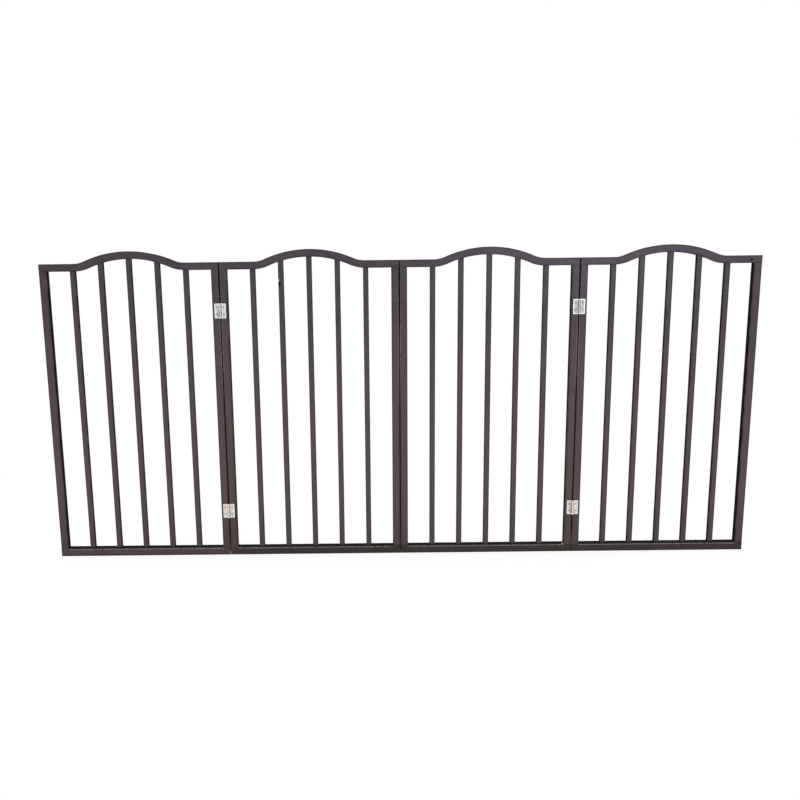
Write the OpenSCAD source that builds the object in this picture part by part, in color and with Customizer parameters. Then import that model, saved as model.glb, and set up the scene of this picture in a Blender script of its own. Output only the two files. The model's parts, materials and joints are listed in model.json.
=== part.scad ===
// Folding pet gate. Four barred panels with scalloped tops stand in a row, and butt hinges
// on the front and the back in turn let them fold up like an accordion.
// The origin is on the floor under the middle of the opened gate. +X runs along the gate,
// +Y goes to its back and +Z goes up. Sizes are in millimetres.

/* [Gate] */
// Width of one panel
panel_w = 463; // [340:1:620]
// Height of the level ends of the top rail above the floor
panel_h = 783; // [600:1:1000]
// Thickness of the frame, front to back
frame_t = 18; // [17:0.5:30]
// Gap between neighbouring panels
seam_gap = 0.5; // [0.5:0.25:4]

/* [Frame] */
// Width of a stile, seen from the front
stile_w = 20; // [17:0.5:40]
// Height of the bottom rail
bottom_rail_h = 23; // [17:0.5:45]
// Height of the top rail, square to its curve
top_rail_h = 19; // [16:0.5:35]
// Radius of the eased long edges of stiles and rails
edge_r = 1.5; // [0.5:0.25:3]

/* [Scallop] */
// Rise of the crown above the level ends
crown_rise = 30; // [10:1:60]
// Length of the curved stretch, from one level end to the other
crown_span = 288; // [180:2:330]
// Radius of the hollow at each foot of the crown, along the middle of the rail
hollow_r = 85; // [30:1:180]

/* [Bars] */
// Number of bars in a panel
bar_count = 5; // [2:1:5]
// Width of a bar, seen from the front
bar_w = 14; // [8:0.5:15]
// Thickness of a bar, front to back
bar_t = 11; // [8:0.5:15]
// Radius of the eased long edges of a bar
bar_edge_r = 1; // [0.25:0.25:3]
// Depth that a bar is let into each rail
bar_let_in = 6; // [3:0.5:9]

/* [Dowels] */
// Diameter of a dowel
dowel_d = 6; // [4:0.5:10]
// Length of a dowel
dowel_l = 30; // [20:1:50]
// Length of the dowel's end in the rail
dowel_in_rail = 12; // [6:0.5:14]
// Clearance around bars and dowels in their glued sockets
glue_gap = 0.1; // [0.05:0.05:0.3]

/* [Hinges] */
// Distance of a hinge's middle from the floor, and from the level top
hinge_inset = 124; // [70:1:250]
// Height of a hinge
hinge_h = 38; // [30:1:60]
// Width of one leaf, from the pin's axis
leaf_w = 15; // [13:0.5:18]
// Thickness of the leaf's sheet
leaf_t = 1.2; // [0.8:0.1:1.6]
// Corner radius of a leaf
leaf_corner_r = 0.8; // [0.2:0.1:3]
// Diameter of the pin
pin_d = 3.6; // [2.4:0.1:5]
// Clearance between the pin and the knuckles, on the radius
pin_gap = 0.05; // [0.02:0.01:0.1]
// Diameter of the pin's domed ends
pin_head_d = 5; // [4:0.1:5.8]
// Height of the pin's domed ends
pin_head_h = 0.9; // [0.4:0.1:1.5]
// Number of knuckles on a hinge
knuckle_count = 5; // [3:2:7]
// Gap between neighbouring knuckles
knuckle_gap = 0.3; // [0.2:0.05:0.8]
// Gap between a leaf's edge and the other leaf's knuckles
notch_gap = 0.4; // [0.3:0.05:1]
// Angle that a knuckle curls around the pin
curl_angle = 300; // [270:5:305]

/* [Screws] */
// Distance between the two screws of a leaf
screw_spacing = 18; // [12:0.5:24]
// Diameter of the countersunk head
screw_head_d = 5.4; // [4:0.1:6.5]
// Height of the countersunk head
screw_head_h = 1.4; // [1:0.1:2.2]
// Diameter of the shank
screw_d = 2.8; // [2:0.1:3.4]
// Length of the screw
screw_l = 12; // [8:0.5:15]
// Length of the screw's point
screw_tip = 3; // [1:0.5:5]
// Width across the cross recess
recess_w = 3; // [1.5:0.1:3.6]
// Width of one slot of the recess
recess_slot = 0.7; // [0.4:0.05:1]
// Depth of the recess
recess_depth = 0.8; // [0.3:0.05:1]
// Clearance around a screw
screw_gap = 0.05; // [0.02:0.01:0.1]

/* [Hidden] */
panel_count = 4;
// The panel that holds still when the gate folds
base_panel = 2;
$fn = 48;

wood_colour = [0.30, 0.26, 0.27];
dowel_colour = [0.80, 0.66, 0.46];
steel_colour = [0.80, 0.79, 0.76];
pin_colour = [0.70, 0.69, 0.67];

// Middle of a panel and of a seam along X
function panel_x(p) = (p - (panel_count + 1) / 2) * (panel_w + seam_gap);
function seam_x(s) = (s - panel_count / 2) * (panel_w + seam_gap);

// The rail's middle line rises through two equal turns: a hollow arc, then half of the crown arc
crown_half = crown_span / 2;
turn_angle = 2 * atan(crown_rise / crown_half);
crown_r = crown_half / sin(turn_angle) - hollow_r;
rail_mid_z = panel_h - top_rail_h / 2;
hollow_z = rail_mid_z + hollow_r;
crown_z = rail_mid_z + crown_rise - crown_r;

// Stations along the middle line, from left to right: [x, z, slope]
hollow_steps = 6;
crown_steps = 20;
rail_path = let (
        hollow = [for (i = [0 : hollow_steps]) let (a = turn_angle * i / hollow_steps)
            [hollow_r * sin(a) - crown_half, hollow_z - hollow_r * cos(a), a]],
        crown = [for (i = [1 : crown_steps - 1]) let (a = turn_angle * (1 - 2 * i / crown_steps))
            [-crown_r * sin(a), crown_z + crown_r * cos(a), a]])
    concat([[-panel_w / 2, rail_mid_z, 0]], hollow, crown,
        [for (i = [hollow_steps : -1 : 0]) [-hollow[i][0], hollow[i][1], -hollow[i][2]]],
        [[panel_w / 2, rail_mid_z, 0]]);

// Underside of the top rail at a distance from the panel's middle
under_hollow_r = hollow_r + top_rail_h / 2;
under_crown_r = crown_r - top_rail_h / 2;
under_turn_x = under_crown_r * sin(turn_angle);
function arc_rise(r, x) = sqrt(r * r - x * x);
function underside_z(x) =
    x >= crown_half ? panel_h - top_rail_h
    : x >= under_turn_x ? hollow_z - arc_rise(under_hollow_r, crown_half - x)
    : crown_z + arc_rise(under_crown_r, x);

// Bars stand at equal gaps between the stiles
bar_space = (panel_w - 2 * stile_w - bar_count * bar_w) / (bar_count + 1);
function bar_x(b) = (b - (bar_count + 1) / 2) * (bar_w + bar_space);
function bar_top_z(b) = underside_z(abs(bar_x(b))) + bar_let_in;
bar_foot_z = bottom_rail_h - bar_let_in;

stile_x = (panel_w - stile_w) / 2;
stile_h = panel_h - top_rail_h - bottom_rail_h;

// Hinge: the sheet curls around the pin, and its back face touches the curl's outer surface
bore_r = pin_d / 2 + pin_gap;
barrel_r = bore_r + leaf_t;
pin_y = frame_t / 2 + barrel_r;
plate_x = barrel_r + notch_gap;
screw_x = (barrel_r + leaf_w) / 2;
knuckle_h = (hinge_h - (knuckle_count - 1) * knuckle_gap) / knuckle_count;
level_names = ["lower", "upper"];
function hinge_z(level) = level == 0 ? hinge_inset : panel_h - hinge_inset;
// Odd seams have their hinges on the front (-1), even seams on the back (1)
function seam_face(s) = s % 2 == 1 ? -1 : 1;
// The leaf on the base panel's side carries the end knuckles and the pin
function outer_side(s) = s < base_panel ? 1 : -1;

// Rectangle with rounded corners, centred
module eased_section(w, h, r) {
    square([w - 2 * r, h], center = true);
    square([w, h - 2 * r], center = true);
    for (x = [-1, 1], y = [-1, 1])
        translate([x * (w / 2 - r), y * (h / 2 - r)]) circle(r);
}

// Section of a bottom rail: eased on top, with square corners on the floor
module footed_section() {
    eased_section(frame_t, bottom_rail_h, edge_r);
    translate([0, -bottom_rail_h / 4]) square([frame_t, bottom_rail_h / 2], center = true);
}

// Outline of the same eased section, as points that run around it
function eased_outline(w, h, r, steps = 2) = [
    for (corner = [0 : 3], i = [0 : steps])
        let (a = 90 * (corner + i / steps), x = corner == 0 || corner == 3 ? 1 : -1,
            y = corner < 2 ? 1 : -1)
        [x * (w / 2 - r) + r * cos(a), y * (h / 2 - r) + r * sin(a)]];

// Sweeps an outline [across, up] along a path of stations in the XZ plane
module sweep(path, outline) {
    n = len(outline);
    last = (len(path) - 1) * n;
    points = [for (at = path, q = outline)
        [at[0] - q[1] * sin(at[2]), q[0], at[1] + q[1] * cos(at[2])]];
    sides = [for (k = [0 : n : last - n], i = [0 : n - 1]) let (next = (i + 1) % n)
        [k + i, k + n + i, k + n + next, k + next]];
    polyhedron(points, concat(sides,
        [[for (i = [0 : n - 1]) i], [for (i = [n - 1 : -1 : 0]) last + i]]));
}

// Prism of a bar, or of its socket with a clearance around it
module bar_prism(b, from_z, to_z, gap = 0) {
    translate([bar_x(b), 0, from_z]) linear_extrude(to_z - from_z)
        eased_section(bar_w + 2 * gap, bar_t + 2 * gap, bar_edge_r + gap);
}

// Dowel along Z from the origin, with chamfered ends
module dowel(gap = 0) {
    r = dowel_d / 2 + gap;
    chamfer = dowel_d / 6;
    translate([0, 0, -gap]) rotate_extrude()
        polygon([[0, 0], [r - chamfer, 0], [r, chamfer], [r, dowel_l + 2 * gap - chamfer],
            [r - chamfer, dowel_l + 2 * gap], [0, dowel_l + 2 * gap]]);
}

// The four dowels of a panel, about its middle
module dowel_set(gap = 0) {
    for (side = [-1, 1]) {
        translate([side * stile_x, 0, bottom_rail_h - dowel_in_rail]) dowel(gap);
        translate([side * stile_x, 0, panel_h - top_rail_h + dowel_in_rail - dowel_l]) dowel(gap);
    }
}

// Screw along +Y with its head's face at the origin, or the hole that it fits
module screw_body(gap = 0) {
    head_r = screw_head_d / 2 + gap;
    shank_r = screw_d / 2 + gap;
    above = gap > 0 ? 1 : 0;
    rotate([-90, 0, 0]) rotate_extrude()
        polygon([[0, -above], [head_r, -above], [head_r, 0], [shank_r, screw_head_h],
            [shank_r, screw_l - screw_tip], [gap, screw_l + gap], [0, screw_l + gap]]);
}

module screw() {
    difference() {
        screw_body();
        for (turn = [0, 90])
            rotate([0, turn, 0])
                translate([-recess_w / 2, -recess_depth, -recess_slot / 2])
                    cube([recess_w, 2 * recess_depth, recess_slot]);
    }
}

// The two screws of a leaf, or their holes, in the hinge's own frame
module leaf_screws(holes = false) {
    for (z = [-1, 1])
        translate([screw_x, bore_r, z * screw_spacing / 2])
            if (holes) screw_body(screw_gap); else screw();
}

// Knuckle about Z: a strap from the plate to the pin's side, then the curl
module knuckle() {
    translate([0, bore_r, 0]) cube([plate_x, leaf_t, knuckle_h]);
    rotate([0, 0, 90]) rotate_extrude(angle = curl_angle)
        translate([bore_r, 0]) square([leaf_t, knuckle_h]);
}

// Flat part of a leaf, with rounded outer corners
module plate() {
    r = leaf_corner_r;
    translate([0, barrel_r, 0]) rotate([90, 0, 0]) linear_extrude(leaf_t) {
        translate([plate_x, -hinge_h / 2]) square([leaf_w - r - plate_x, hinge_h]);
        translate([plate_x, r - hinge_h / 2]) square([leaf_w - plate_x, hinge_h - 2 * r]);
        for (z = [-1, 1])
            translate([leaf_w - r, z * (hinge_h / 2 - r)]) circle(r);
    }
}

// Leaf in the hinge's own frame: pin along Z, wood on the +Y side, plate towards +X
module leaf(outer) {
    color(steel_colour) difference() {
        union() {
            plate();
            for (k = [outer ? 0 : 1 : 2 : knuckle_count - 1])
                translate([0, 0, k * (knuckle_h + knuckle_gap) - hinge_h / 2]) knuckle();
        }
        leaf_screws(holes = true);
    }
}

// Puts the hinge's own frame at a seam, with the plate on the given side of it
module at_hinge(s, level, side) {
    face = seam_face(s);
    translate([seam_x(s), face * pin_y, hinge_z(level)])
        rotate([0, 0, face > 0 ? 180 : 0])
            mirror([side == face ? 1 : 0, 0, 0]) children();
}

// Both hinges' share on one side of a panel (-1 left, 1 right); the gate's ends have none
module at_panel_hinges(p, side) {
    s = side < 0 ? p - 1 : p;
    if (s >= 1 && s < panel_count)
        for (level = [0, 1]) at_hinge(s, level, -side) children();
}

module stile(p, side) {
    color(wood_colour) difference() {
        translate([panel_x(p) + side * stile_x, 0, bottom_rail_h])
            linear_extrude(stile_h) eased_section(stile_w, frame_t, edge_r);
        translate([panel_x(p), 0, 0]) dowel_set(glue_gap);
        at_panel_hinges(p, side) leaf_screws(holes = true);
    }
}

module bottom_rail(p) {
    color(wood_colour) translate([panel_x(p), 0, 0]) difference() {
        translate([-panel_w / 2, 0, bottom_rail_h / 2])
            rotate([90, 0, 90]) linear_extrude(panel_w) footed_section();
        for (b = [1 : bar_count]) bar_prism(b, bar_foot_z, bottom_rail_h + 1, glue_gap);
        dowel_set(glue_gap);
    }
}

module top_rail(p) {
    color(wood_colour) translate([panel_x(p), 0, 0]) difference() {
        sweep(rail_path, eased_outline(frame_t, top_rail_h, edge_r));
        for (b = [1 : bar_count])
            bar_prism(b, panel_h - top_rail_h - 1, bar_top_z(b) + glue_gap, glue_gap);
        dowel_set(glue_gap);
    }
}

module bar(p, b) {
    color(wood_colour) translate([panel_x(p), 0, 0]) bar_prism(b, bar_foot_z, bar_top_z(b));
}

module dowels(p) {
    color(dowel_colour) translate([panel_x(p), 0, 0]) dowel_set();
}

module hinge_screws(p) {
    color(steel_colour) for (side = [-1, 1]) at_panel_hinges(p, side) leaf_screws();
}

module hinge_leaf(s, level, side) {
    at_hinge(s, level, side) leaf(side == outer_side(s));
}

// Domed end of a pin, on the XY plane
module pin_head() {
    dome_r = (pow(pin_head_d / 2, 2) + pow(pin_head_h, 2)) / (2 * pin_head_h);
    rotate_extrude() intersection() {
        translate([0, pin_head_h - dome_r]) circle(dome_r);
        square([pin_head_d / 2, pin_head_h]);
    }
}

module hinge_pins(s) {
    color(pin_colour) for (level = [0, 1]) at_hinge(s, level, 1) {
        cylinder(h = hinge_h, d = pin_d, center = true);
        for (end = [0, 1]) mirror([0, 0, end]) translate([0, 0, hinge_h / 2]) pin_head();
    }
}

for (p = [1 : panel_count]) {
    stile(p, -1);
    stile(p, 1);
    top_rail(p);
    bottom_rail(p);
    dowels(p);
    hinge_screws(p);
    for (b = [1 : bar_count])
        bar(p, b);
}
for (s = [1 : panel_count - 1]) {
    for (level = [0, 1]) {
        name = str("seam_", s, "_", level_names[level]);
        hinge_leaf(s, level, -1);
        hinge_leaf(s, level, 1);
    }
    hinge_pins(s);
}
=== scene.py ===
# Folding pet gate: four barred panels on butt hinges, painted espresso brown
import json
import math

import bpy
import bmesh
import numpy as np
from mathutils import Euler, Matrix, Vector

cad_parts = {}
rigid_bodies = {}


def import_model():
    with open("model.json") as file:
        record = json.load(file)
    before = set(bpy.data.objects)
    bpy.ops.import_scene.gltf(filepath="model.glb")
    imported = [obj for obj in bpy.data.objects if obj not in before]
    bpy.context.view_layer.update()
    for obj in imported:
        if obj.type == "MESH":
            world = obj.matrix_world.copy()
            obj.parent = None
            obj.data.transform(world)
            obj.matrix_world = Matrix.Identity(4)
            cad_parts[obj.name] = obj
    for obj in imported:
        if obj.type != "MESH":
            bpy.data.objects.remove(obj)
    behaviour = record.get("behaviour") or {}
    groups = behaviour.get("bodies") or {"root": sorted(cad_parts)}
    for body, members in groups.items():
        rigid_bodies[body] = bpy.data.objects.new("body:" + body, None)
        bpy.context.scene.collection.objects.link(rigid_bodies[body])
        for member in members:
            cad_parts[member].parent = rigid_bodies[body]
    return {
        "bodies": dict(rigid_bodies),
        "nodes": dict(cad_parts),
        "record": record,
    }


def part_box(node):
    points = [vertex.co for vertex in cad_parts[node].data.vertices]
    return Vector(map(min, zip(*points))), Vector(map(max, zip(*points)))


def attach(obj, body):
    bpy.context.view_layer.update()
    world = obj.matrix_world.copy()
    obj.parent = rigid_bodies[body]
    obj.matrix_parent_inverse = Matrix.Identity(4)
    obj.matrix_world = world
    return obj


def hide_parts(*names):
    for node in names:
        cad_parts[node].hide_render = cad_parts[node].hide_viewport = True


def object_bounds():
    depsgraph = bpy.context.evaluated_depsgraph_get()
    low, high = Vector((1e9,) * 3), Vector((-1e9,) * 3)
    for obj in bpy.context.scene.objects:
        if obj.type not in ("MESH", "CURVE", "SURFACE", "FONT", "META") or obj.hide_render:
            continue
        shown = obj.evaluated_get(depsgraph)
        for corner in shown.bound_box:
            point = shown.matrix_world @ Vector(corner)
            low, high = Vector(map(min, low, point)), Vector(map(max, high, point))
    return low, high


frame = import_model()
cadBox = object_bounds()
print("frame loaded:", len(frame["nodes"]), "nodes")

scene = bpy.context.scene
scene.view_settings.view_transform = "Standard"
mm = 0.001

cameraSet = {
    "sensor": 36.0,                     # millimetres, as is the lens
    "lens": 36.0,
    "place": (-0.075, -2.0994, 0.7180),
    "pitchDown": 10.161,                # degrees
    "yawLeft": 0.440,
    "roll": -0.726,
    "shift": (0.0429, 0.0367),          # shares of the sensor's width
    "farthest": 200.0,
}


def makeCamera():
    data = bpy.data.cameras.new("camera")
    data.lens = cameraSet["lens"]
    data.sensor_width = cameraSet["sensor"]
    data.shift_x, data.shift_y = cameraSet["shift"]
    data.clip_end = cameraSet["farthest"]
    eye = bpy.data.objects.new("camera", data)
    scene.collection.objects.link(eye)
    turn = Euler((math.radians(90 - cameraSet["pitchDown"]), 0, math.radians(cameraSet["yawLeft"])))
    spin = Euler((0, 0, math.radians(cameraSet["roll"])))
    eye.rotation_euler = (turn.to_matrix() @ spin.to_matrix()).to_euler()
    eye.location = cameraSet["place"]
    scene.camera = eye


makeCamera()

panels = sorted(frame["bodies"])
seamXs = np.array([(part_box(f"{left}_top_rail")[1].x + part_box(f"{right}_top_rail")[0].x) / 2
                   for left, right in zip(panels, panels[1:])])
panelEnds = np.concatenate([seamXs, [cadBox[0].x, cadBox[1].x]])
panelPitch = float(seamXs[-1])          # the middle seam is at x = 0


class Wire:
    # A node's output that takes part in Python sums: each operator adds one Math node
    tree = None

    def __init__(self, socket):
        self.socket = socket

    @classmethod
    def node(cls, kind, settings=None, inputs=None, output=0):
        # A new node: its settings, then the values or links of its sockets, and the output to go on from
        made = cls.tree.nodes.new("ShaderNode" + kind)
        for name, value in (settings or {}).items():
            setattr(made, name, value)
        for name, value in (inputs or {}).items():
            if isinstance(value, Wire):
                cls.tree.links.new(value.socket, made.inputs[name])
            else:
                made.inputs[name].default_value = value
        return cls(made.outputs[output]) if made.outputs else None

    @classmethod
    def maths(cls, operation, first, second=0):
        return cls.node("Math", {"operation": operation}, {0: first, 1: second})

    def __add__(self, other):
        return Wire.maths("ADD", self, other)

    def __sub__(self, other):
        return Wire.maths("SUBTRACT", self, other)

    def __rsub__(self, other):
        return Wire.maths("SUBTRACT", other, self)

    def __mul__(self, other):
        return Wire.maths("MULTIPLY", self, other)

    def __abs__(self):
        return Wire.maths("ABSOLUTE", self)

    __radd__ = __add__
    __rmul__ = __mul__


def ramp(value, low, high, start=0.0, end=1.0):
    # Smooth step from start to end as value goes from low to high
    return Wire.node("MapRange", {"interpolation_type": "SMOOTHSTEP"},
                     {"Value": value, "From Min": low, "From Max": high, "To Min": start, "To Max": end})


def band(value, rise, fall, after=0.0):
    # 1 between two soft borders, each (low, high), 0 before them and another value after them
    return ramp(value, *rise) * ramp(value, *fall, 1, after)


def larger(first, second):
    # The larger of two values
    return Wire.maths("MAXIMUM", first, second)


def mix(share, first, second):
    # Colour between two colours
    return Wire.node("Mix", {"data_type": "RGBA"}, {0: share, 6: first, 7: second}, 2)


def noise(place, scale, detail=2.0, rough=0.5, stretch=(1, 1, 1)):
    # Fractal noise from 0 to 1, finer along the axes with the larger stretch
    spread = Wire.node("Mapping", None, {"Vector": place, "Scale": stretch})
    return Wire.node("TexNoise", None, {"Vector": spread, "Scale": scale, "Detail": detail,
                                         "Roughness": rough}, "Fac")


def distance(place):
    # Length of a vector
    return Wire.node("VectorMath", {"operation": "LENGTH"}, {0: place}, "Value")


def bumpFrom(level, strength, depth):
    # Normal bent by the slope of a level from 0 to about 1, which stands for a depth in metres
    return Wire.node("Bump", None, {"Strength": strength, "Distance": depth, "Height": level}, "Normal")


def colour(rgb):
    # Opaque colour from red, green and blue
    return (*rgb, 1.0)


def startMaterial(name):
    # An empty material, whose tree the next nodes go into
    made = bpy.data.materials.new(name)
    made.use_nodes = True
    made.node_tree.nodes.clear()
    Wire.tree = made.node_tree
    return made


def endMaterial(inputs):
    body = Wire.node("BsdfPrincipled", None, inputs)
    Wire.node("OutputMaterial", None, {"Surface": body})


def leafReach(place):
    # Distance sideways from the nearest hinge's axis, distance out of its leaves' rectangle
    # (below 0 inside), x and height. Outer seams have their hinges in front and the middle one behind
    x, y, z = (Wire.node("SeparateXYZ", None, {0: place}, axis) for axis in "XYZ")
    low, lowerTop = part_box("seam_3_lower_left_leaf")
    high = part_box("seam_3_upper_right_leaf")[1]
    tall = lowerTop.z - low.z
    across = abs(abs(x) - panelPitch * ramp(y, -1 * mm, 1 * mm, 1, 0))
    above = abs(abs(z - (low.z + high.z) / 2) - (high.z - low.z - tall) / 2) - tall / 2
    return across, larger(across - (high.x - low.x) / 2, above), x, z


# Throughout, a ramp is (low, high) or (low, high, what it gives below, what it gives above)
paintSet = {
    "brown": (0.094, 0.068, 0.067),     # painted light: low down, lit warm from below
    "violet": (0.063, 0.051, 0.067),    # painted light: high up, lit blue from above
    "rise": (0.34, 0.80),               # heights between which one turns into the other
    "riseWander": 0.5,                  # how far those heights wander
    "leftEnd": (-0.95, -0.45, 0.13, 0), # how much higher they lie near the left end, by x
    "leftShade": (0.25, 0.45, 0, 1.5),  # painted shade: how much darker it is there, by height
    "bluishSheen": (0.090, 0.076, 0.101),    # painted sheen: top of the right panels, lighter as from a reflected light
    "bluishSheenX": ((-0.1, 0.5), (0.55, 0.95), 0.5),    # a band: two ramps and what it gives beyond them
    "bluishSheenHeight": (0.62, 0.77),
    "pale": (0.090, 0.066, 0.066),      # along the grain's ridges
    "paleRamp": (0.46, 0.66, 0, 0.60),
    "paleGrain": 0.7,                   # share of the grain in it, the rest is cloud
    # the pores' dark tone, which the painted shades below also use
    "pore": (0.026, 0.017, 0.017),
    "poreRamp": (0.40, 0.30, 0, 0.5),
    "side": (0.011, 0.008, 0.008),      # painted shade: near black on the narrow faces
    "sideRamp": (0, 1, 0.95, 0),
    "broadTurn": (0.45, 0.98),          # of the attribute front, from narrow faces to broad ones
    "paintedFootShade": (21.5 * mm, 26 * mm, 0.78, 0),     # painted shade on the bottom rails, by height
    "paintedFootShadeX": (-0.48, -0.44, 0.15, 1),          # the left panel's foot has less of it
    # painted shade, fainter, low down and where the gate meets the floor
    "paintedLowShade": (30 * mm, 150 * mm, 0.25, 0),
    "paintedSoleShade": (2.5 * mm, 5 * mm, 0.90, 0),
    "railStart": (19.5 * mm, 20.5 * mm),            # from a panel's end, past its stile
    "railTopShade": ((19.6 * mm, 20.4 * mm), (23.2 * mm, 24 * mm)),     # painted shade on the upper edge of a bottom rail
    "railTopShadeShare": 0.9,
    "edgeShade": (0.15, 0.55, 0, 0.42), # painted shade: darker along the eased edges, by the attribute edge
    "worn": (0.190, 0.135, 0.112),      # rubbed edges
    "rub": (0.92, 1.10),
    "rubParts": (0.55, 0.65, 0.30),     # edge, cloud and fleck in it
    "rubShare": 0.75,
    "dust": (0.34, 0.31, 0.29),
    "dustRamp": (0.74, 0.80, 0, 0.5),
    "paintedHighlight": (0.230, 0.205, 0.220),       # painted highlight: light lines on the eased edges beside the seams and along the bottom rails
    "lipCrease": (0.18, 0.40),
    "lipHeight": (0.50, 0.66),
    "lipWander": 0.2,
    "lipFoot": ((16.6 * mm, 17.6 * mm), (19.2 * mm, 20 * mm)),
    "lipBreaks": (0.36, 0.52),
    "lipShare": 0.9,
    "crease": (0.004, 0.003, 0.003),    # painted shade: near black beside a seam and around a leaf
    "seamShade": (0.44, 0.54),             # of the attribute crease
    "grooveTop": (0.50, 0.75, 0, 0.14), # wider towards the top
    "grooveFoot": (0.02, 0.08, 0.3, 1), # fainter at the foot
    "grooveShare": 0.96,
    "hingeShadow": (0.66 * mm, 2.2 * mm, 1, 0),       # painted shadow around a leaf, by the distance out of it
    "hingeShadowWander": 1.6 * mm,
    "hingeShadowShare": 0.95,
    "noise": {                          # scale, detail, roughness and stretch
        "broad": (3.1, 3), "cloud": (26, 3), "fleck": (900, 2), "ragged": (380, 3),
        "grain": (1.0, 4, 0.62, (520, 9, 1)), "pore": (1.0, 2, 0.5, (1500, 34, 1)),
    },
    "relief": (0.5, 0.35, 0.10, 1.2),   # grain, pore and fleck in the bump, and how deep a chip is
    "bump": (0.55, 0.22 * mm),
    "roughness": 0.54,
    "roughParts": (0.12, 0.10, 0.14),   # more with cloud and grain, less where rubbed
    "coat": 0.32,                       # on the broad faces, which the last coat reached
    "coatCloud": (0.3, 0.7, 0.7, 1.1),
    "sideCoat": 0.05,
    "coatRoughness": 0.36,
}
chipSet = {
    "wander": 2.2,                      # how far a chip's outline wanders, in its half lengths
    "edge": (0.85, 1.0, 1, 0),
    "haloShade": (1.0, 1.5, 0.6, 0),         # painted shade in a dark rim around it
}
chipTones = {"wood": (0.66, 0.52, 0.34), "red": (0.190, 0.062, 0.044), "primer": (0.40, 0.37, 0.36),
             "dark": (0.010, 0.009, 0.010)}
chips = [                               # place, half lengths and tone
    # painted shadow below the bare wood chip that follows
    ((-0.3105, -0.0055, 0.7255), (4.5 * mm, 2.6 * mm, 7.5 * mm), "dark"),
    ((-0.3105, -0.0055, 0.7350), (2.8 * mm, 2.6 * mm, 3.6 * mm), "wood"),
    ((0.9068, 0.0055, 0.5150), (2.2 * mm, 3.2 * mm, 32 * mm), "red"),
    ((0.4400, -0.0085, 0.0225), (3.0 * mm, 2.0 * mm, 1.6 * mm), "primer"),
    ((0.3756, -0.0055, 0.0240), (1.6 * mm, 1.4 * mm, 1.2 * mm), "primer"),
    ((-0.4640, -0.0088, 0.0060), (1.4 * mm, 1.4 * mm, 6.0 * mm), "primer"),
    ((0.8992, -0.0090, 0.7720), (4.0 * mm, 2.0 * mm, 1.8 * mm), "dark"),
]


def coatToneAndPaintedLight(sideways, height, broad, cloud, grain, pore):
    # Tone of the coats with painted light in it: brown to violet upwards, browner with painted shade at
    # the left end and a painted sheen at the top right; paler along the grain and darker in its pores
    s = paintSet
    left = ramp(sideways, *s["leftEnd"])
    rise = height + s["riseWander"] * (broad - 0.5) - left
    # painted light: warm brown low down turning violet high up
    tone = mix(ramp(rise, *s["rise"]), colour(s["brown"]), colour(s["violet"]))
    # painted shade high at the left end
    tone = mix(left * ramp(height, *s["leftShade"]), tone, colour(s["pore"]))
    # painted sheen at the top of the right panels
    rightTopSheen = band(sideways, *s["bluishSheenX"]) * ramp(height, *s["bluishSheenHeight"])
    tone = mix(rightTopSheen, tone, colour(s["bluishSheen"]))
    ridges = grain * s["paleGrain"] + cloud * (1 - s["paleGrain"])
    tone = mix(ramp(ridges, *s["paleRamp"]), tone, colour(s["pale"]))
    return mix(ramp(pore, *s["poreRamp"]), tone, colour(s["pore"]))


def paintedFootShade(sideways, height):
    # Share of painted shade by height: on the bottom rails, faintly above them and along the floor
    s = paintSet
    foot = ramp(height, *s["paintedFootShade"]) * ramp(sideways, *s["paintedFootShadeX"])
    return larger(larger(foot, ramp(height, *s["paintedLowShade"])), ramp(height, *s["paintedSoleShade"]))


def chipped(tone, place, ragged):
    # Chips as ellipsoids with wandering outlines and dark rims of painted shade; also gives where the
    # paint is missing
    bare = 0
    for at, reach, toneName in chips:
        scale = [1 / half for half in reach]
        spread = Wire.node("Mapping", None, {"Vector": place, "Scale": scale,
                                             "Location": [-a * b for a, b in zip(at, scale)]})
        away = distance(spread) + chipSet["wander"] * (ragged - 0.5)
        chip = ramp(away, *chipSet["edge"])
        tone = mix(ramp(away, *chipSet["haloShade"]), tone, colour(chipTones["dark"]))
        tone = mix(chip, tone, colour(chipTones[toneName]))
        bare = chip + bare
    return tone, bare


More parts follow.
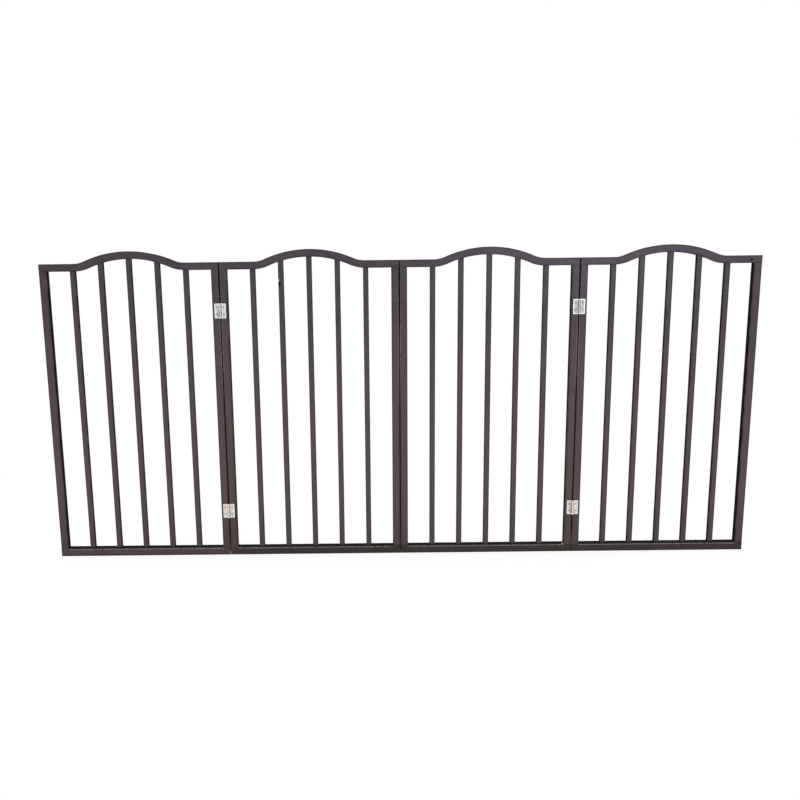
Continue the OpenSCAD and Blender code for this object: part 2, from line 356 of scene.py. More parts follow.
def makePaint():
    # Coats with painted light, then painted shade, rubbed spots and dust, painted highlight and shade
    # lines, and the chips
    s = paintSet
    made = startMaterial("espressoPaint")
    place = Wire.node("TexCoord", None, None, "Object")
    along = Wire.node("UVMap", {"uv_map": "grain"})
    edge, crease, front = (Wire.node("Attribute", {"attribute_name": name}, None, "Fac")
                           for name in ("edge", "crease", "front"))
    broad, cloud, fleck, ragged = (noise(place, *s["noise"][name])
                                   for name in ("broad", "cloud", "fleck", "ragged"))
    grain, pore = (noise(along, *s["noise"][name]) for name in ("grain", "pore"))
    outOfLeaf, sideways, height = leafReach(place)[1:]
    broadFace = ramp(front, *s["broadTurn"])
    onRail = ramp(Wire.maths("PINGPONG", sideways, panelPitch / 2), *s["railStart"])

    tone = coatToneAndPaintedLight(sideways, height, broad, cloud, grain, pore)
    # painted shade towards the bottom
    tone = mix(paintedFootShade(sideways, height), tone, colour(s["pore"]))
    # painted shade along the eased edges
    tone = mix(ramp(edge, *s["edgeShade"]), tone, colour(s["pore"]))
    # painted shade on the narrow faces
    tone = mix(ramp(broadFace, *s["sideRamp"]), tone, colour(s["side"]))
    onEdge, inCloud, inFleck = s["rubParts"]
    rub = ramp(edge * onEdge + cloud * inCloud + fleck * inFleck, *s["rub"])
    tone = mix(rub * s["rubShare"], tone, colour(s["worn"]))
    tone = mix(ramp(fleck, *s["dustRamp"]) * broadFace, tone, colour(s["dust"]))
    # painted shade along the upper edge of each bottom rail
    railTopShade = band(height, *s["railTopShade"]) * onRail
    tone = mix(railTopShade * s["railTopShadeShare"], tone, colour(s["side"]))
    # painted highlight lines beside the seams and along the bottom rails
    seamHighlight = ramp(crease, *s["lipCrease"]) * ramp(height + s["lipWander"] * ragged, *s["lipHeight"])
    railHighlight = band(height, *s["lipFoot"]) * onRail * broadFace
    paintedHighlight = larger(seamHighlight, railHighlight) * ramp(ragged, *s["lipBreaks"])
    tone = mix(paintedHighlight * s["lipShare"], tone, colour(s["paintedHighlight"]))
    # painted shade beside each seam, where the coat's gloss is left off too
    seamShade = ramp(crease + ramp(height, *s["grooveTop"]), *s["seamShade"]) * ramp(height, *s["grooveFoot"])
    tone = mix(seamShade * s["grooveShare"], tone, colour(s["crease"]))
    # painted shadow line around each hinge leaf
    leafShadow = ramp(outOfLeaf + s["hingeShadowWander"] * (ragged - 0.5), *s["hingeShadow"])
    tone = mix(leafShadow * s["hingeShadowShare"], tone, colour(s["crease"]))
    tone, bare = chipped(tone, place, ragged)

    ofGrain, ofPore, ofFleck, chipDepth = s["relief"]
    level = grain * ofGrain + pore * ofPore + fleck * ofFleck - bare * chipDepth
    byCloud, byGrain, byRub = s["roughParts"]
    broadCoat = broadFace * ramp(cloud, *s["coatCloud"]) * s["coat"] * (1 - seamShade)
    endMaterial({
        "Base Color": tone,
        "Roughness": s["roughness"] + byCloud * cloud + byGrain * grain - byRub * rub,
        "Specular IOR Level": 0.0,
        "Coat Weight": (broadCoat + s["sideCoat"]) * (1 - bare),
        "Coat Roughness": s["coatRoughness"],
        "Normal": bumpFrom(level, *s["bump"]),
    })
    return made


zincSet = {                             # what leaves, screws and pins share: zinc plate drawn along Z
    "hingeHeights": (0.3, 0.5),         # between the lower and the upper hinges, for painted light
    "brush": (1.0, 3, 0.6, (2600, 2600, 60)),
    "streak": (1.0, 2, 0.5, (400, 400, 12)),
    "haze": (130, 3),
    "spot": (900, 2),
    "coolRamp": (0.40, 0.68, 0, 0.55),
    "warmRamp": (0.52, 0.72, 0, 0.45),
    "darkRamp": (0.38, 0.54, 0.80, 0),
    "darkBrush": 0.40,                  # share of the brush in it, the rest is streak
    "roughParts": (0.20, 0.14, -0.12),  # for brush and haze, and an even part
    "reliefHaze": 0.5,
    "bump": (0.35, 0.06 * mm),
}
steelSet = {                            # painted light: warmer on the low hinges and greyer on the high ones
    "leaf": {"low": (0.84, 0.74, 0.66), "high": (0.77, 0.74, 0.73), "cool": (0.56, 0.60, 0.64),
             "warm": (0.76, 0.64, 0.56), "dark": (0.25, 0.235, 0.225), "roughness": 0.34},
    "screw": {"low": (0.50, 0.46, 0.42), "high": (0.46, 0.45, 0.44), "cool": (0.40, 0.43, 0.47),
              "warm": (0.52, 0.45, 0.39), "dark": (0.18, 0.17, 0.16), "roughness": 0.30},
    "pin": {"low": (0.50, 0.45, 0.41), "high": (0.45, 0.44, 0.44), "cool": (0.40, 0.43, 0.47),
            "warm": (0.50, 0.44, 0.39), "dark": (0.18, 0.17, 0.16), "roughness": 0.28},
}
leafSet = {                             # what the leaves have besides
    "rimLow": (1.0, 0.94, 0.86),        # polished rim of a leaf with a painted highlight, warmer low down
    "rimHigh": (0.96, 0.96, 0.96),
    "rim": (-2.3 * mm, -0.23 * mm),     # by the distance out of the leaves' rectangle
    "rimWander": 1.2 * mm,
    "rimPolish": 0.45,                  # how much smoother the rim is
    "valley": 3.3 * mm,                 # from the axis: painted shade where the sheet meets the knuckles
    "valleyRamp": (0.21 * mm, 0.7 * mm, 0.75, 0),
    "upperRightShadeX": (0.1, 0.4),                # painted shade on the upper right hinge
    "upperRightShade": 0.42,
}


def makeSteel(name, look):
    # Zinc plate, hazed, spotted and brushed along Z, with painted light by height; leaves add painted
    # shade and a polished rim with a painted highlight
    s = zincSet
    made = startMaterial(name)
    place = Wire.node("TexCoord", None, None, "Object")
    across, outOfLeaf, sideways, height = leafReach(place)
    brush, streak, haze, spot = (noise(place, *s[kind]) for kind in ("brush", "streak", "haze", "spot"))
    upper = ramp(height, *s["hingeHeights"])
    # painted light: warm on the low hinges, grey on the high ones
    tone = mix(upper, colour(look["low"]), colour(look["high"]))
    tone = mix(ramp(haze, *s["coolRamp"]), tone, colour(look["cool"]))
    tone = mix(ramp(spot, *s["warmRamp"]), tone, colour(look["warm"]))
    drawn = brush * s["darkBrush"] + streak * (1 - s["darkBrush"])
    tone = mix(ramp(drawn, *s["darkRamp"]), tone, colour(look["dark"]))
    byBrush, byHaze, even = s["roughParts"]
    rough = look["roughness"] + byBrush * brush + byHaze * haze + even
    if look is steelSet["leaf"]:
        s = leafSet
        # painted shade on the upper right hinge
        tone = mix(ramp(sideways, *s["upperRightShadeX"]) * upper * s["upperRightShade"], tone, colour(look["dark"]))
        # painted shade in the crease beside the knuckles
        tone = mix(ramp(abs(across - s["valley"]), *s["valleyRamp"]), tone, colour(look["dark"]))
        # painted highlight on the leaf's polished rim
        rim = ramp(outOfLeaf + s["rimWander"] * (haze - 0.5), *s["rim"])
        tone = mix(rim, tone, mix(upper, colour(s["rimLow"]), colour(s["rimHigh"])))
        rough = rough * (1 - s["rimPolish"] * rim)
    endMaterial({
        "Base Color": tone,
        "Metallic": 1.0,
        "Roughness": rough,
        "Normal": bumpFrom(brush + haze * zincSet["reliefHaze"], *zincSet["bump"]),
    })
    return made


beechSet = {
    "pale": (0.66, 0.45, 0.26), "deep": (0.48, 0.29, 0.15), "ray": (0.30, 0.17, 0.08),
    "ring": (1.0, 4, 0.6, (700, 700, 20)),
    "rays": (1.0, 2, 0.5, (1900, 1900, 160)),
    "rayRamp": (0.58, 0.70, 0, 0.5),
    "rayRelief": 0.5,
    "bump": (0.4, 0.2 * mm),
    "roughness": 0.62,
    "roughRing": 0.15,
}


def makeBeech():
    # Bare wood with growth rings and short rays along Z
    s = beechSet
    made = startMaterial("bareBeech")
    place = Wire.node("TexCoord", None, None, "Object")
    ring, rays = (noise(place, *s[kind]) for kind in ("ring", "rays"))
    tone = mix(ring, colour(s["pale"]), colour(s["deep"]))
    endMaterial({
        "Base Color": mix(ramp(rays, *s["rayRamp"]), tone, colour(s["ray"])),
        "Roughness": s["roughness"] + s["roughRing"] * ring,
        "Normal": bumpFrom(ring + rays * s["rayRelief"], *s["bump"]),
    })
    return made


espresso = makePaint()
zincLeaf, zincScrew, zincPin = (makeSteel("zinc" + kind.capitalize(), steelSet[kind])
                                for kind in ("leaf", "screw", "pin"))
beech = makeBeech()
print("finishes made")


def tube(rings, u, v, edge):
    # Closed skin of rings[ring, place]: quads between neighbouring rings and a flat face on each end.
    # u runs round a ring and v along the rings, and the faces are turned to point outwards
    count, around = rings.shape[:2]
    i, j = np.meshgrid(np.arange(count - 1), np.arange(around), indexing="ij")
    k = (j + 1) % around
    quads = np.stack([i * around + j, i * around + k, (i + 1) * around + k, (i + 1) * around + j], -1)
    quads = quads.reshape(-1, 4)
    quadUv = np.stack([np.stack([u[j], v[i]], -1), np.stack([u[j + 1], v[i]], -1),
                       np.stack([u[j + 1], v[i + 1]], -1), np.stack([u[j], v[i + 1]], -1)], -2)
    quadUv = quadUv.reshape(-1, 4, 2)
    caps = [np.arange(around)[::-1], (count - 1) * around + np.arange(around)]
    capUv = [np.stack([u[:-1][::-1], np.full(around, v[0])], -1),
             np.stack([u[:-1], np.full(around, v[-1])], -1)]
    points = rings.reshape(-1, 3)
    first, second, third = (points[quads[:, corner]] for corner in range(3))
    facing = np.cross(second - first, third - first)
    if np.einsum("ij,ij->", first - points.mean(0), facing) <= 0:
        quads, quadUv = quads[:, ::-1], quadUv[:, ::-1]
        caps, capUv = [cap[::-1] for cap in caps], [uv[::-1] for uv in capUv]
    faces = quads.tolist() + [cap.tolist() for cap in caps]
    return points, faces, np.concatenate([quadUv.reshape(-1, 2)] + capUv), edge.reshape(-1)


meshSet = {
    "smoothTo": 40,                     # degrees between faces that are shaded as one
    "endReach": 1 * mm,                 # from a panel's end, where faces along X take the last coat too and no painted shade
    "topFrom": 0.7,                     # height above which faces that look up do
    "creaseReach": 3.2 * mm,            # distance from a seam at which the crease attribute is 0
    "creaseTurn": 0.25,                 # least forward look of a face with the whole crease
}


def addAttribute(mesh, name, values):
    # One value for each point
    mesh.attributes.new(name, "FLOAT", "POINT").data.foreach_set("value", values.astype(np.float32))


def markFaces(mesh, points):
    # Attribute front: how far a point's normal looks where the last coat of paint went; other faces get
    # painted shade. Attribute
    # crease: from 1 on a seam to 0 at the crease's reach, on faces that look forwards or back, for painted
    # shade and highlight
    normals = np.empty(3 * len(points), np.float32)
    mesh.vertices.foreach_get("normal", normals)
    alongX, alongY, alongZ = abs(normals.reshape(-1, 3)).T
    x, z = points[:, 0], points[:, 2]
    fromEnd = abs(x[:, None] - panelEnds).min(1)
    onEnd, onTop = fromEnd < meshSet["endReach"], z > meshSet["topFrom"]
    addAttribute(mesh, "front", np.maximum.reduce([alongY, alongX * onEnd, alongZ * onTop]))
    fromSeam = abs(x[:, None] - seamXs).min(1)
    near = np.clip(1 - fromSeam / meshSet["creaseReach"], 0, 1)
    addAttribute(mesh, "crease", near * np.clip(alongY / meshSet["creaseTurn"], 0, 1))


def fitPiece(name, mesh, material, body, nodes, smoothTo=meshSet["smoothTo"]):
    # One object from a mesh, riding on a body in place of CAD nodes
    mesh.materials.clear()
    mesh.materials.append(material)
    mesh.shade_smooth()
    mesh.set_sharp_from_angle(angle=math.radians(smoothTo))
    piece = bpy.data.objects.new(name, mesh)
    scene.collection.objects.link(piece)
    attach(piece, body)
    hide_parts(*nodes)


def makePiece(name, skins, material, body, nodes):
    # One mesh from one or more skins
    points, faces, uvs, edges, start = [], [], [], [], 0
    for skinPoints, skinFaces, skinUv, skinEdge in skins:
        points.append(skinPoints)
        faces += [[start + corner for corner in face] for face in skinFaces]
        uvs.append(skinUv)
        edges.append(skinEdge)
        start += len(skinPoints)
    points = np.concatenate(points)
    mesh = bpy.data.meshes.new(name)
    mesh.from_pydata(points.tolist(), [], faces)
    uv = np.concatenate(uvs).astype(np.float32)
    mesh.uv_layers.new(name="grain").uv.foreach_set("vector", uv.ravel())
    addAttribute(mesh, "edge", np.concatenate(edges))
    markFaces(mesh, points)
    fitPiece(name, mesh, material, body, nodes)


woodSet = {
    "edgeRadius": 1.5 * mm,
    "footRadius": 0.25 * mm,
    "barEdgeRadius": 1.0 * mm,
    "railEndEase": 0.8 * mm,
    "stileEndEase": 0.35 * mm,
    "bead": 0.7 * mm,                   # paint bead where a bar meets a rail
    "beadDepth": 0.3 * mm,              # how far it goes on into the rail
    "topRailHeight": 19 * mm,
    "crownSpan": 288 * mm,
    "crownRise": 30 * mm,
    "hollowRadius": 85 * mm,
    "edgeWearAndShade": 0.6,                    # edge attribute, for rubbed edges and painted edge shade, where an eased edge starts, 1 in its middle
    "endWearAndShade": 0.7,                     # and at a stick's ends
    "endWearAndShadeReach": 3 * mm,
    "endRings": (1.1 * mm, 2.4 * mm),   # rings close to a stick's ends
    "easeRings": 4,
    "stileRings": 40,
    "railRings": 30,
    "crownRings": 120,
    "barRings": 24,
    "beadRings": 5,
    "waves": (0.31, 0.17, 0.093, 0.052),    # lengths of the waviness along a stick
    "waviness": 0.07 * mm,
    "barWaviness": 0.10 * mm,
    "seedStep": 40,                     # from one panel to the next
    "mapStep": (0.37, 0.53),            # how far one stick's grain lies from the next
}


def section(width, height, radii, flats=3, turns=5):
    # Rounded rectangle [across, up], anticlockwise from the top right: four arcs with divided flats
    # between them. Gives the points, their outward normals, how much each lies on an eased edge,
    # and the way round
    points, normals, edge = [], [], []
    half = np.array([width, height]) / 2
    wearAndShade = woodSet["edgeWearAndShade"]
    for corner in range(4):
        angle = np.radians(90 * corner + np.linspace(0, 90, turns + 1))
        sign = np.array([1 if corner in (0, 3) else -1, 1 if corner < 2 else -1])
        normal = np.stack([np.cos(angle), np.sin(angle)], -1)
        arc = sign * (half - radii[corner]) + radii[corner] * normal
        nextRadius = radii[(corner + 1) % 4]
        nextSign = np.array([1 if corner in (2, 3) else -1, 1 if corner in (0, 3) else -1])
        nextStart = nextSign * (half - nextRadius) + nextRadius * normal[-1]
        t = (np.arange(1, flats + 1) / (flats + 1))[:, None]
        points += [arc, arc[-1] + t * (nextStart - arc[-1])]
        normals += [normal, np.repeat(normal[-1:], flats, 0)]
        edge += [wearAndShade + (1 - wearAndShade) * np.sin(np.linspace(0, np.pi, turns + 1)), np.zeros(flats)]
    points = np.concatenate(points)
    way = np.linalg.norm(np.roll(points, -1, 0) - points, axis=1)
    return points, np.concatenate(normals), np.concatenate(edge), np.concatenate([[0], np.cumsum(way)])


def wander(seed, along, way, height):
    # Slight hand-sanded waviness: the mean of sines of a few lengths with phases of their own, in metres
    rng = np.random.default_rng(seed)
    lengths = np.array(woodSet["waves"])
    phase = rng.uniform(0, 2 * np.pi, (2, len(lengths)))
    turn = way[:-1] / way[-1] * 2 * np.pi
    shift = phase[0] + np.sin(turn[None, :, None] + phase[1])
    return height * np.sin(2 * np.pi * along[:, None, None] / lengths + shift).mean(-1)


def stickRings(seed, length, shape, ease, stations):
    # A section carried along a stick from 0 to length: stations along it, the section's points at
    # each, moved in by quarter rounds at both ends, and the edge attribute
    turn = np.linspace(0, np.pi / 2, woodSet["easeRings"])
    start = ease * (1 - np.cos(turn))
    inset = ease * (1 - np.sin(turn))
    nearEnds = ease + np.array(woodSet["endRings"])
    middle = np.sort(np.concatenate([nearEnds, length - nearEnds,
                                     np.linspace(ease, length - ease, stations)[1:-1]]))
    along = np.concatenate([start, middle, length - start[::-1]])
    inward = np.concatenate([inset, np.zeros(len(middle)), inset[::-1]])
    points, normals, edge, way = shape
    spread = wander(seed, along, way, woodSet["waviness"]) - inward[:, None]
    profile = points + normals * spread[..., None]
    nearEnd = np.clip(1 - np.minimum(along, length - along) / woodSet["endWearAndShadeReach"], 0, 1)
    return along, profile, np.maximum(edge, woodSet["endWearAndShade"] * nearEnd[:, None])


def makeStick(node, body, seed, rings, way, along, edges):
    # The grain's map: the way round and the way along, moved by a step of the stick's own
    acrossStep, alongStep = woodSet["mapStep"]
    skin = tube(rings, way + seed * acrossStep, along + seed * alongStep, edges)
    makePiece(node + "_wood", [skin], espresso, body, [node])


def boxOf(node):
    # A node's lowest corner, its size and its middle
    low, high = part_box(node)
    return low, high - low, (low + high) / 2


def makeStile(node, body, seed):
    # A rounded section carried up Z
    low, size, middle = boxOf(node)
    shape = section(size.x, size.y, [woodSet["edgeRadius"]] * 4)
    along, profile, edges = stickRings(seed, size.z, shape, woodSet["stileEndEase"], woodSet["stileRings"])
    heights = np.broadcast_to(low.z + along[:, None], edges.shape)
    rings = np.stack([middle.x + profile[..., 0], middle.y + profile[..., 1], heights], -1)
    makeStick(node, body, seed, rings, shape[-1], along, edges)


def makeBottomRail(node, body, seed):
    # A section carried along X, rounded above and nearly square below, with nothing under the floor
    low, size, middle = boxOf(node)
    shape = section(size.y, size.z, [woodSet["edgeRadius"]] * 2 + [woodSet["footRadius"]] * 2)
    along, profile, edges = stickRings(seed, size.x, shape, woodSet["railEndEase"], woodSet["railRings"])
    xs = np.broadcast_to(low.x + along[:, None], edges.shape)
    heights = np.maximum(middle.z + profile[..., 1], low.z)
    rings = np.stack([xs, middle.y + profile[..., 0], heights], -1)
    makeStick(node, body, seed, rings, shape[-1], along, edges)


def crownPath(width, steps=4000):
    # Middle line of a top rail from its left end: the slope goes up over a hollow arc, down over the
    # crown arc and back over the other hollow, and its cosine and sine add up to x and z
    half = woodSet["crownSpan"] / 2
    turn = 2 * math.atan(woodSet["crownRise"] / half)
    hollow = woodSet["hollowRadius"] * turn
    crown = (half / math.sin(turn) - woodSet["hollowRadius"]) * 2 * turn
    level = width / 2 - half
    corners = np.cumsum([0, level, hollow, crown, hollow, level])
    s = np.linspace(0, corners[-1], steps + 1)
    slope = np.interp(s, corners, [0, 0, turn, -turn, 0, 0])
    step = np.diff(s)
    between = (slope[1:] + slope[:-1]) / 2
    x = np.concatenate([[0], np.cumsum(np.cos(between) * step)])
    z = np.concatenate([[0], np.cumsum(np.sin(between) * step)])
    return s, x, z, slope


def underside(node):
    # Underside of a top rail as a height for each x, from its middle line moved half a height inwards
    low, size = boxOf(node)[:2]
    x, z, slope = crownPath(size.x)[1:]
    half = woodSet["topRailHeight"] / 2
    underX = low.x + x + half * np.sin(slope)
    underZ = low.z + half + z - half * np.cos(slope)
    return lambda at: np.interp(at, underX, underZ)


def makeTopRail(node, body, seed):
    # A rounded section carried along the crown's path and turned with its slope
    low, size, middle = boxOf(node)
    height = woodSet["topRailHeight"]
    s, x, z, slope = crownPath(size.x)
    shape = section(size.y, height, [woodSet["edgeRadius"]] * 4)
    along, profile, edges = stickRings(seed, s[-1], shape, woodSet["railEndEase"], woodSet["crownRings"])
    xs, zs, turn = (np.interp(along, s, values)[:, None] for values in (x, z, slope))
    rings = np.stack([low.x + xs - profile[..., 1] * np.sin(turn), middle.y + profile[..., 0],
                      low.z + height / 2 + zs + profile[..., 1] * np.cos(turn)], -1)
    makeStick(node, body, seed, rings, shape[-1], along, edges)


def makeBar(node, body, seed, floorZ, roof):
    # Bar whose ends flare into small paint beads that follow the rails: a cove of the bead's radius
    low, size, middle = boxOf(node)
    bead, depth = woodSet["bead"], woodSet["beadDepth"]
    points, normals, edge, way = section(size.x, size.y, [woodSet["barEdgeRadius"]] * 4, flats=2, turns=4)
    turn = np.linspace(0, np.pi / 2, woodSet["beadRings"])
    lift = bead * (1 - np.cos(turn))    # distance from the rail's face
    flare = bead * (1 - np.sin(turn))   # outward there
    share = np.linspace(0, 1, woodSet["barRings"] + 2)[1:-1]
    x = middle.x + points[:, 0]
    foot = np.full_like(x, floorZ)
    top = roof(x)
    heights = np.concatenate([
        [np.full_like(x, low.z), foot - depth], foot + lift[:, None],
        foot + bead + share[:, None] * (top - foot - 2 * bead),
        top - lift[::-1, None], [top + depth, np.full_like(x, low.z + size.z)]])
    inside = [0, flare[0] / 2]
    outward = np.concatenate([inside, flare, np.zeros(len(share)), flare[::-1], inside[::-1]])
    along = heights.mean(1) - low.z
    spread = wander(seed, along, way, woodSet["barWaviness"]) + outward[:, None]
    profile = points + normals * spread[..., None]
    rings = np.stack([middle.x + profile[..., 0], middle.y + profile[..., 1], heights], -1)
    makeStick(node, body, seed, rings, way, along, np.broadcast_to(edge, heights.shape))


bodyOf = {node: body for body, nodes in frame["record"]["behaviour"]["bodies"].items() for node in nodes}
for index, body in enumerate(panels):
    seed = woodSet["seedStep"] * (index + 1)        # each stick has its own, for its waviness and grain
    makeStile(f"{body}_left_stile", body, seed + 1)
    makeStile(f"{body}_right_stile", body, seed + 2)
    makeBottomRail(f"{body}_bottom_rail", body, seed + 3)
    makeTopRail(f"{body}_top_rail", body, seed + 4)
    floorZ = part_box(f"{body}_bottom_rail")[1].z
    roof = underside(f"{body}_top_rail")
    bars = sorted(node for node in bodyOf if node.startswith(f"{body}_bar_"))
    for place, node in enumerate(bars):
        makeBar(node, body, seed + 10 + place, floorZ, roof)
print("wood shaped")


hingeSet = {
    "leafWidth": 15 * mm,               # from the pin's axis
    "sheet": 1.2 * mm,
    "softEdge": 0.14 * mm,
    "softSteps": 2,
    "joinWithin": 0.002 * mm,
    "flatWithin": 0.5,                  # degrees between triangles that are one face
    "sharpFrom": 35,                    # degrees at which an edge is softened
    "smoothTo": 20,
    "screwSpacing": 18 * mm,
    "pinHead": 5.0 * mm,
    "pinDiameter": 3.6 * mm,
    "pinAround": 36,
    "domeRings": 9,
    "domeStart": 0.02,                  # radians from its pole
}
screwSet = {
    "head": 5.4 * mm,
    "headHeight": 1.4 * mm,
    "dome": 0.14 * mm,
    "rimEase": 0.45 * mm,
    "rimDrop": 0.16 * mm,
    "recess": 3.0 * mm,                 # across the arms of the cross
    "slot": 0.75 * mm,                  # width of an arm
    "depth": 0.85 * mm,
    "wallEase": 0.12 * mm,
    "armEase": 0.75 * mm,
    "shank": 2.8 * mm,
    "length": 12 * mm,
    "neck": 0.2 * mm,                   # between the head's cone and the shank
    "plain": 1.5 * mm,                  # shank under the head without thread
    "plainEase": 1.0 * mm,
    "tip": 3.2 * mm,
    "point": 0.03,                      # share of the radius left at the tip
    "pitch": 1.25 * mm,
    "thread": 0.30 * mm,
    "ridge": 2.2,                       # steepness of the thread's ridge
    "around": 48,
    "faceRings": 22,
    "faceStart": 0.02,                  # share of the radius at the innermost ring
    "coneRings": 6,
    "pitchRings": 7,
    "mapSize": 0.02,                    # of the map on turned pieces, whose zinc doesn't read it
}


def softLeaf(node):
    # The leaf's own solid with its triangles joined and its edges softened by a narrow bevel
    mesh = frame["nodes"][node].data.copy()
    work = bmesh.new()
    work.from_mesh(mesh)
    bmesh.ops.remove_doubles(work, verts=work.verts, dist=hingeSet["joinWithin"])
    bmesh.ops.dissolve_limit(work, angle_limit=math.radians(hingeSet["flatWithin"]), verts=work.verts,
                             edges=work.edges)
    sharp = [edge for edge in work.edges if edge.calc_face_angle(0) > math.radians(hingeSet["sharpFrom"])]
    bmesh.ops.bevel(work, geom=sharp, offset=hingeSet["softEdge"], segments=hingeSet["softSteps"],
                    profile=0.5, affect="EDGES", clamp_overlap=True)
    work.to_mesh(mesh)
    work.free()
    if "custom_normal" in mesh.attributes:
        mesh.attributes.remove(mesh.attributes["custom_normal"])
    fitPiece(node + "_steel", mesh, zincLeaf, bodyOf[node], [node], hingeSet["smoothTo"])


def turned(radius, height, angle):
    # Rings [ring, place] about +Z from a radius and a height for each ring or place
    height = np.broadcast_to(height, np.broadcast_shapes(radius.shape, angle.shape))
    return np.stack([radius * np.cos(angle), radius * np.sin(angle), height], -1)


def plainSkin(rings):
    # Skin with the way round and along as its map
    count, around = rings.shape[:2]
    way = np.linspace(0, 1, around + 1) * screwSet["mapSize"]
    along = np.linspace(0, 1, count) * screwSet["mapSize"]
    return tube(rings, way, along, np.zeros((count, around)))


def pinSkin(node, axis, dome):
    # Pin with a domed head beyond each end of a leaf: arcs of the head's radius and the dome's height
    low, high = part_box(node)
    head, shank = hingeSet["pinHead"] / 2, hingeSet["pinDiameter"] / 2
    turn = np.linspace(hingeSet["domeStart"], np.pi / 2, hingeSet["domeRings"])
    cap = np.stack([head * np.sin(turn), dome * (1 - np.cos(turn))], -1)
    outline = [cap + [0, low.z - dome], [[shank, low.z], [shank, high.z]],
               cap[::-1] * [1, -1] + [0, high.z + dome]]
    radius, height = np.concatenate(outline).T
    angle = np.linspace(0, 2 * np.pi, hingeSet["pinAround"] + 1)[:-1]
    return plainSkin(turned(radius[:, None], height[:, None], angle) + np.array([axis.x, axis.y, 0]))


def screwRings():
    # Countersunk screw about +Z, its face near z = 0 and its point up: the face is a height field, a low
    # dome with an eased rim and a cross recess whose walls taper, and the shank's radius follows a
    # helical ridge
    s = screwSet
    angle = np.linspace(0, 2 * np.pi, s["around"] + 1)[:-1]
    head, shank = s["head"] / 2, s["shank"] / 2
    faceR = head * np.linspace(s["faceStart"], 1, s["faceRings"])[:, None]
    x, z = abs(faceR * np.cos(angle)), abs(faceR * np.sin(angle))
    wall = np.clip((s["slot"] / 2 - np.minimum(x, z)) / s["wallEase"] + 0.5, 0, 1)
    reach = np.clip((s["recess"] / 2 - np.maximum(x, z)) / s["armEase"], 0, 1)
    rim = np.clip((faceR - head) / s["rimEase"] + 1, 0, 1) ** 2
    dome = (faceR / head) ** 2 - 1
    face = turned(faceR, s["depth"] * wall * reach + s["dome"] * dome + s["rimDrop"] * rim, angle)

    rows = np.linspace(0, 1, s["coneRings"] + 1)[1:, None]
    coneZ = s["rimDrop"] + rows * (s["headHeight"] - s["rimDrop"])
    cone = turned(head + rows * (shank - head), coneZ, angle)

    shankZ = np.arange(s["headHeight"] + s["neck"], s["length"], s["pitch"] / s["pitchRings"])[:, None]
    winding = shankZ / s["pitch"] - angle / (2 * np.pi)
    ridge = np.clip(1 - s["ridge"] * abs((winding % 1) - 0.5), 0, 1)
    fade = np.clip((shankZ - s["headHeight"] - s["plain"]) / s["plainEase"], 0, 1)
    taper = np.clip((s["length"] - shankZ) / s["tip"], s["point"], 1)
    shankR = (shank - s["thread"] * fade * (1 - ridge)) * taper
    return np.concatenate([face, cone, turned(shankR, shankZ, angle)])


def screwSkins(node, axis):
    # A leaf's two screws, driven into the stile behind it
    low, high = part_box(node)
    middle = (low + high) / 2
    outward = -1 if axis.y < 0 else 1   # the way that the hinge looks along Y
    barrel = (high.y - low.y) / 2       # outer radius of the knuckles
    side = 1 if middle.x > axis.x else -1
    screwX = axis.x + side * (barrel + hingeSet["leafWidth"]) / 2
    faceY = (low.y if outward > 0 else high.y) + outward * hingeSet["sheet"]
    rings = screwRings()
    rings = np.stack([rings[..., 0], -outward * rings[..., 2], rings[..., 1]], -1)
    return [plainSkin(rings + np.array([screwX, faceY, middle.z + step * hingeSet["screwSpacing"] / 2]))
            for step in (-1, 1)]


leaves = [node for node in bodyOf if node.endswith("_leaf")]
screws = {body: [] for body in panels}
pins = {}
for node in leaves:
    seam = "_".join(node.split("_")[:2])
    pinNode = f"{seam}_hinge_pins"
    pinLow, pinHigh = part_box(pinNode)
    axis = (pinLow + pinHigh) / 2
    softLeaf(node)
    screws[bodyOf[node]] += screwSkins(node, axis)
    if node.endswith("left_leaf"):
        dome = pinHigh.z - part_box(f"{seam}_upper_left_leaf")[1].z
        pins.setdefault(pinNode, []).append(pinSkin(node, axis, dome))
for body, skins in screws.items():
    makePiece(f"{body}_screws", skins, zincScrew, body, [f"{body}_hinge_screws"])
for pinNode, skins in pins.items():
    makePiece(f"{pinNode}_turned", skins, zincPin, bodyOf[pinNode], [pinNode])
for body in panels:
    for slot in frame["nodes"][f"{body}_dowels"].material_slots:
        slot.material = beech
print("hinges made")


stageSet = {
    "ambient": 0.42,                    # the world's strength as a light
    "floorHalf": 14.0,
    "floorDrop": 0.2 * mm,
    "floorTone": (0.86, 0.86, 0.86),
    "floorGlow": 0.56,                  # what the floor near the gate shows besides its light
    "bounceTone": (0.35, 0.35, 0.35),   # the floor as the gate sees it
    "shadowFade": (0.25, 1.3, 0.55, 0), # shadows' share by the distance from the middle
    "shadowShape": (0.6, 1, 0),         # how that distance counts along each axis
    "key": {"place": (0.3, -8.0, 1.6), "aim": (0.0, 0.0, 0.4), "size": (2.8, 1.8), "power": 335,
            "tint": (1.0, 0.99, 0.98), "mirrored": False},
    "behind": {"place": (-0.3, 8.0, 1.6), "aim": (0.0, 0.0, 0.4), "size": (2.8, 1.8), "power": 270,
               "tint": (1.0, 0.99, 0.98), "mirrored": False},
    "sheen": {"place": (1.5, -4.2, 0.95), "aim": (0.3, 0.0, 0.7), "size": (2.6, 0.8), "power": 12,
              "tint": (0.86, 0.84, 1.0), "mirrored": True},
    "edgeLight": {"place": (-0.4, -2.6, 2.6), "aim": (0.0, 0.0, 0.1), "size": (1.6, 0.3), "power": 7,
                  "tint": (1.0, 0.98, 0.96), "mirrored": True},
}
white = colour((1, 1, 1))


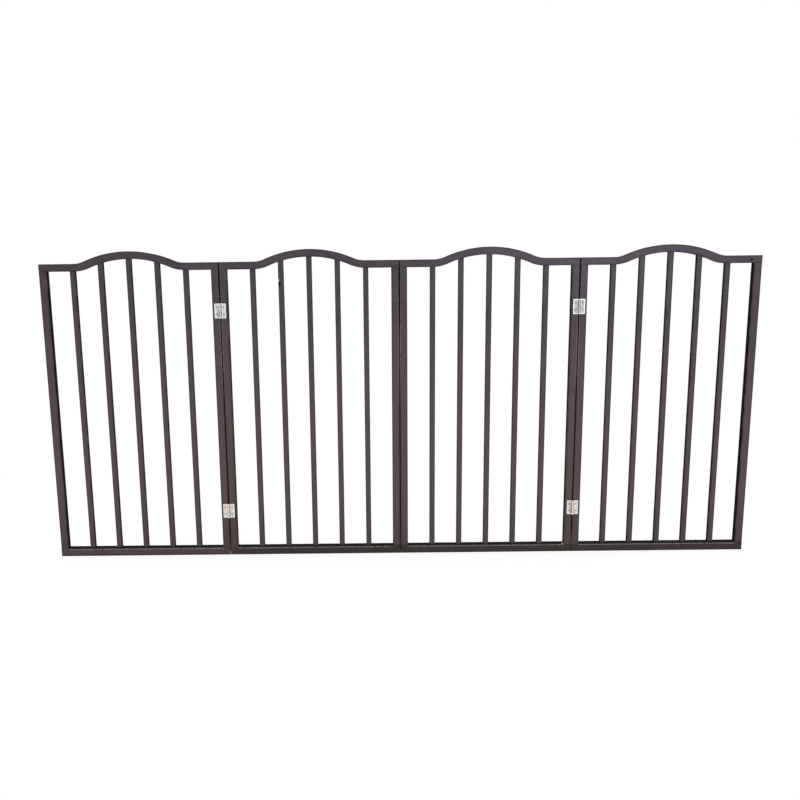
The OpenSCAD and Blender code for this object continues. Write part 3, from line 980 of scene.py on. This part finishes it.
def makeLamp(name, look):
    # A rectangle of light that looks at its aim
    data = bpy.data.lights.new(name, "AREA")
    data.shape = "RECTANGLE"
    data.size, data.size_y = look["size"]
    data.energy = look["power"]
    data.color = look["tint"]
    lamp = bpy.data.objects.new(name, data)
    lamp.visible_glossy = look["mirrored"]
    scene.collection.objects.link(lamp)
    lamp.location = look["place"]
    lamp.rotation_euler = (Vector(look["aim"]) - Vector(look["place"])).to_track_quat("-Z", "Y").to_euler()


def seenShare():
    # 1 for rays that show the white surroundings: from the camera, mirrored or through something clear
    fromCamera, mirrored, through = (Wire.node("LightPath", None, None, f"Is {kind} Ray")
                                     for kind in ("Camera", "Glossy", "Transmission"))
    return larger(larger(fromCamera, mirrored), through)


def makeFloor():
    # White floor that shows soft shadows near the gate and fades to plain white away from it
    half = stageSet["floorHalf"]
    low = -stageSet["floorDrop"]
    corners = [(-half, -half, low), (half, -half, low), (half, half, low), (-half, half, low)]
    mesh = bpy.data.meshes.new("floor")
    mesh.from_pydata(corners, [], [(0, 1, 2, 3)])
    floor = bpy.data.objects.new("floor", mesh)
    scene.collection.objects.link(floor)
    made = startMaterial("paleFloor")
    place = Wire.node("TexCoord", None, None, "Object")
    away = distance(Wire.node("Mapping", None, {"Vector": place, "Scale": stageSet["shadowShape"]}))
    plain = Wire.node("Emission", None, {"Color": white, "Strength": 1.0})
    glow = Wire.node("Emission", None, {"Color": white, "Strength": stageSet["floorGlow"]})
    lit = Wire.node("BsdfDiffuse", None, {"Color": colour(stageSet["floorTone"])})
    near = Wire.node("AddShader", None, {0: glow, 1: lit})
    shown = Wire.node("MixShader", None, {0: ramp(away, *stageSet["shadowFade"]), 1: plain, 2: near})
    bounce = Wire.node("BsdfDiffuse", None, {"Color": colour(stageSet["bounceTone"])})
    surface = Wire.node("MixShader", None, {0: seenShare(), 1: bounce, 2: shown})
    Wire.node("OutputMaterial", None, {"Surface": surface})
    mesh.materials.append(made)


def makeWorld():
    # Seen as white, and dimmer as a light
    world = bpy.data.worlds.new("studio")
    world.use_nodes = True
    world.node_tree.nodes.clear()
    scene.world = world
    Wire.tree = world.node_tree
    strength = seenShare() * (1 - stageSet["ambient"]) + stageSet["ambient"]
    sky = Wire.node("Background", None, {"Color": white, "Strength": strength})
    Wire.node("OutputWorld", None, {"Surface": sky})


makeFloor()
makeWorld()
for name in ("key", "behind", "sheen", "edgeLight"):
    makeLamp(name, stageSet[name])
print("stage set")
